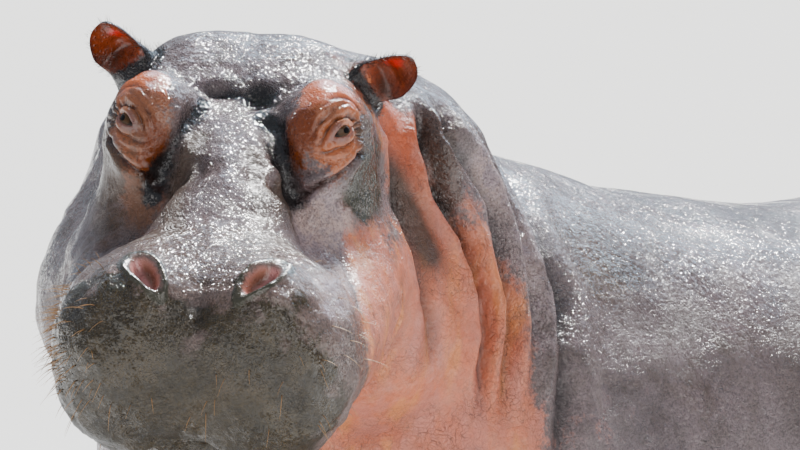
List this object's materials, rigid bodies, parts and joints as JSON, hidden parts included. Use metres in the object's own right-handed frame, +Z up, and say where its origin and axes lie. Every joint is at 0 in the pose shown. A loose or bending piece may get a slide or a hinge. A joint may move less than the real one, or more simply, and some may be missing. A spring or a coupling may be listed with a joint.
{
  "type": "hippopotamus",
  "caption": "Life-size still model of a standing hippopotamus, head raised and turned to its left, with bare wet creased hide.",
  "frame": {"origin": "on the floor, under the middle of the animal's bounding box", "axes": "+Z up, the trunk faces -Y with the tail toward +Y, +X is the animal's left, to which the head is turned"},
  "size_m": [1.3128, 2.974, 1.6157],
  "materials": {
    "wet_grey_skin": "wet bare hide, mauve grey on the back and pinker below, finely creased",
    "pink_neck_skin": "bare salmon pink hide of the neck and cheek with grey patches and deep folds",
    "dark_muzzle_skin": "wet dark grey brown hide of the lips and muzzle",
    "ear_skin": "thin orange red skin inside the ears, dark outside",
    "nostril_lining": "moist pink lining of the nostrils",
    "eye": "clear cornea over a dark brown iris",
    "nail_horn": "worn brown grey horn",
    "bristle": "stiff tan and dark bristles"
  },
  "bodies": {
    "root": {"head": "wet_grey_skin", "muzzle": "dark_muzzle_skin", "lower_jaw": "dark_muzzle_skin", "ear_left": "ear_skin", "ear_right": "ear_skin", "eye_left": "eye", "eye_right": "eye", "neck": "pink_neck_skin", "shoulders": "wet_grey_skin", "barrel": "wet_grey_skin", "rump": "wet_grey_skin", "tail_root": "wet_grey_skin", "tail_tip": "wet_grey_skin", "foreleg_left_upper": "wet_grey_skin", "foreleg_left_lower": "wet_grey_skin", "foreleg_left_foot": "wet_grey_skin", "foreleg_left_nail_inner": "nail_horn", "foreleg_left_nail_middle": "nail_horn", "foreleg_left_nail_third": "nail_horn", "foreleg_left_nail_outer": "nail_horn", "foreleg_right_upper": "wet_grey_skin", "foreleg_right_lower": "wet_grey_skin", "foreleg_right_foot": "wet_grey_skin", "foreleg_right_nail_inner": "nail_horn", "foreleg_right_nail_middle": "nail_horn", "foreleg_right_nail_third": "nail_horn", "foreleg_right_nail_outer": "nail_horn", "hindleg_left_upper": "wet_grey_skin", "hindleg_left_lower": "wet_grey_skin", "hindleg_left_foot": "wet_grey_skin", "hindleg_left_nail_inner": "nail_horn", "hindleg_left_nail_middle": "nail_horn", "hindleg_left_nail_third": "nail_horn", "hindleg_left_nail_outer": "nail_horn", "hindleg_right_upper": "wet_grey_skin", "hindleg_right_lower": "wet_grey_skin", "hindleg_right_foot": "wet_grey_skin", "hindleg_right_nail_inner": "nail_horn", "hindleg_right_nail_middle": "nail_horn", "hindleg_right_nail_third": "nail_horn", "hindleg_right_nail_outer": "nail_horn"}
  },
  "joints": []
}
